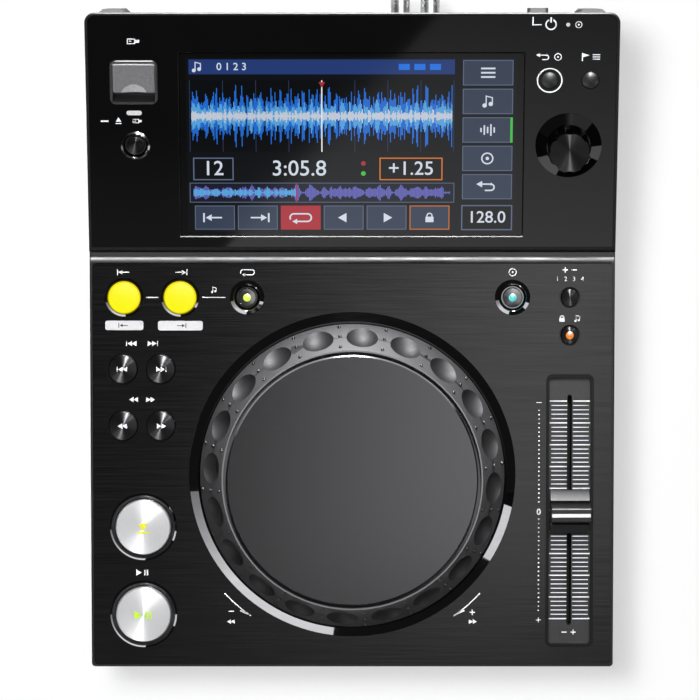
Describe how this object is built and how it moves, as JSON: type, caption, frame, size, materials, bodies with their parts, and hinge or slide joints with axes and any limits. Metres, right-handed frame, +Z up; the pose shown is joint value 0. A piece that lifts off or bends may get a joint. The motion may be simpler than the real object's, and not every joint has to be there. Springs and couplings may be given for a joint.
{
  "type": "dj media player",
  "caption": "Tabletop DJ media player with a dimpled jog wheel, pitch fader, sloping touch display, rotary selector and push keys on a black housing",
  "frame": {"origin": "centre of the footprint on the surface that the feet stand on", "axes": "+X to the player's right, +Y to its rear with the sockets, +Z up"},
  "size_m": [0.2226, 0.284, 0.1028],
  "materials": {
    "case_plastic": "fine grained black moulding",
    "deck_hairline": "black hairline finish",
    "gloss_black": "polished black",
    "bright_trim": "bright bead",
    "black_chrome": "dark plated",
    "spun_aluminium": "spun rings",
    "dark_spun": "dark anodised, spun rings",
    "yellow_lit": "translucent yellow, lit",
    "green_lit": "lit lens",
    "cyan_lit": "lit lens",
    "orange_lit": "lit lens",
    "lamp_white": "small light windows",
    "display_glass": "polished cover glass",
    "lcd_panel": "dark display panel",
    "steel": "plated sheet and turned steel",
    "bronze": "sintered bush",
    "board": "circuit board",
    "switch_black": "moulded component",
    "jog_ring_black": "satin black moulding",
    "platter_satin": "satin dark grey disc",
    "hub_plastic": "moulded hub",
    "fader_black": "satin moulded cap",
    "tray_black": "satin tray",
    "cover_grey": "smoky grey flap",
    "socket_metal": "nickel plated",
    "rubber": "soft black"
  },
  "bodies": {
    "chassis": {"bottom_case": "case_plastic", "deck_case": "case_plastic", "console_case": "case_plastic", "deck_panel": "deck_hairline", "screen_fascia": "gloss_black", "console_trim": "bright_trim", "rear_panel": "case_plastic", "rubber_feet": "rubber", "display_glass": "display_glass", "lcd_module": "lcd_panel", "display_bracket": "steel", "main_board": "board", "key_boards": "board", "tact_switches": "switch_black", "jog_bezel": "gloss_black", "jog_spindle": "steel", "jog_mount_plate": "steel", "jog_sensor": "switch_black", "fader_tray": "tray_black", "fader_pot": "steel", "encoder_body": "switch_black", "usb_bezel": "gloss_black", "usb_socket": "socket_metal", "light_windows": "lamp_white", "key_rings": "black_chrome", "rca_jacks": "socket_metal", "lan_jack": "switch_black", "usb_b_socket": "switch_black", "dc_inlet": "switch_black"},
    "jog": {"jog_ring": "jog_ring_black", "jog_platter": "platter_satin", "jog_hub": "hub_plastic", "jog_bush": "bronze", "encoder_disc": "steel"},
    "fader": {"fader_cap": "fader_black", "fader_lever": "steel"},
    "selector_press": {"selector_shaft": "steel"},
    "selector": {"selector_knob": "dark_spun"},
    "loop_in": {"loop_in_key": "yellow_lit"},
    "loop_out": {"loop_out_key": "yellow_lit"},
    "reloop": {"reloop_key": "dark_spun", "reloop_lens": "green_lit"},
    "vinyl": {"vinyl_key": "dark_spun", "vinyl_lens": "cyan_lit"},
    "tempo_range": {"tempo_range_key": "dark_spun"},
    "master_tempo": {"master_tempo_key": "dark_spun", "master_tempo_lens": "orange_lit"},
    "track_prev": {"track_prev_key": "dark_spun"},
    "track_next": {"track_next_key": "dark_spun"},
    "search_rev": {"search_rev_key": "dark_spun"},
    "search_fwd": {"search_fwd_key": "dark_spun"},
    "cue": {"cue_key": "spun_aluminium"},
    "play": {"play_key": "spun_aluminium"},
    "usb_stop": {"usb_stop_key": "dark_spun"},
    "back": {"back_key": "dark_spun"},
    "tag": {"tag_key": "dark_spun"},
    "power": {"power_key": "switch_black"},
    "usb_flap": {"usb_cover": "cover_grey"}
  },
  "joints": [
    {"name": "jog_turn", "type": "hinge", "parent": "chassis", "child": "jog", "pos_m": [0, -0.0595, 0.076], "axis": [0, 0, 1], "continuous": true},
    {"name": "fader_slide", "type": "slide", "parent": "chassis", "child": "fader", "axis": [0, 1, 0], "range_m": [-0.0466, 0.0466]},
    {"name": "selector_push", "type": "slide", "parent": "chassis", "child": "selector_press", "axis": [0, 0.2419, -0.9703], "range_m": [0, 0.0005], "stiffness_N_per_m": 900},
    {"name": "selector_turn", "type": "hinge", "parent": "selector_press", "child": "selector", "pos_m": [0.0906, 0.0812, 0.08915], "axis": [0, -0.2419, 0.9703], "continuous": true},
    {"name": "loop_in_press", "type": "slide", "parent": "chassis", "child": "loop_in", "axis": [0, 0, -1], "range_m": [0, 0.0008], "stiffness_N_per_m": 400},
    {"name": "loop_out_press", "type": "slide", "parent": "chassis", "child": "loop_out", "axis": [0, 0, -1], "range_m": [0, 0.0008], "stiffness_N_per_m": 400},
    {"name": "reloop_press", "type": "slide", "parent": "chassis", "child": "reloop", "axis": [0, 0, -1], "range_m": [0, 0.0008], "stiffness_N_per_m": 400},
    {"name": "vinyl_press", "type": "slide", "parent": "chassis", "child": "vinyl", "axis": [0, 0, -1], "range_m": [0, 0.0008], "stiffness_N_per_m": 400},
    {"name": "tempo_range_press", "type": "slide", "parent": "chassis", "child": "tempo_range", "axis": [0, 0, -1], "range_m": [0, 0.0008], "stiffness_N_per_m": 400},
    {"name": "master_tempo_press", "type": "slide", "parent": "chassis", "child": "master_tempo", "axis": [0, 0, -1], "range_m": [0, 0.0008], "stiffness_N_per_m": 400},
    {"name": "track_prev_press", "type": "slide", "parent": "chassis", "child": "track_prev", "axis": [0, 0, -1], "range_m": [0, 0.0008], "stiffness_N_per_m": 400},
    {"name": "track_next_press", "type": "slide", "parent": "chassis", "child": "track_next", "axis": [0, 0, -1], "range_m": [0, 0.0008], "stiffness_N_per_m": 400},
    {"name": "search_rev_press", "type": "slide", "parent": "chassis", "child": "search_rev", "axis": [0, 0, -1], "range_m": [0, 0.0008], "stiffness_N_per_m": 400},
    {"name": "search_fwd_press", "type": "slide", "parent": "chassis", "child": "search_fwd", "axis": [0, 0, -1], "range_m": [0, 0.0008], "stiffness_N_per_m": 400},
    {"name": "cue_press", "type": "slide", "parent": "chassis", "child": "cue", "axis": [0, 0, -1], "range_m": [0, 0.0012], "stiffness_N_per_m": 400},
    {"name": "play_press", "type": "slide", "parent": "chassis", "child": "play", "axis": [0, 0, -1], "range_m": [0, 0.0012], "stiffness_N_per_m": 400},
    {"name": "usb_stop_press", "type": "slide", "parent": "chassis", "child": "usb_stop", "axis": [0, 0.2419, -0.9703], "range_m": [0, 0.0008], "stiffness_N_per_m": 400},
    {"name": "back_press", "type": "slide", "parent": "chassis", "child": "back", "axis": [0, 0.2419, -0.9703], "range_m": [0, 0.0008], "stiffness_N_per_m": 400},
    {"name": "tag_press", "type": "slide", "parent": "chassis", "child": "tag", "axis": [0, 0.2419, -0.9703], "range_m": [0, 0.0008], "stiffness_N_per_m": 400},
    {"name": "power_press", "type": "slide", "parent": "chassis", "child": "power", "axis": [0, -1, 0], "range_m": [0, 0.002], "stiffness_N_per_m": 400},
    {"name": "usb_flap_hinge", "type": "hinge", "parent": "chassis", "child": "usb_flap", "pos_m": [-0.0912, 0.11493, 0.09694], "axis": [-1, 0, 0], "range_deg": [0, 95]}
  ]
}
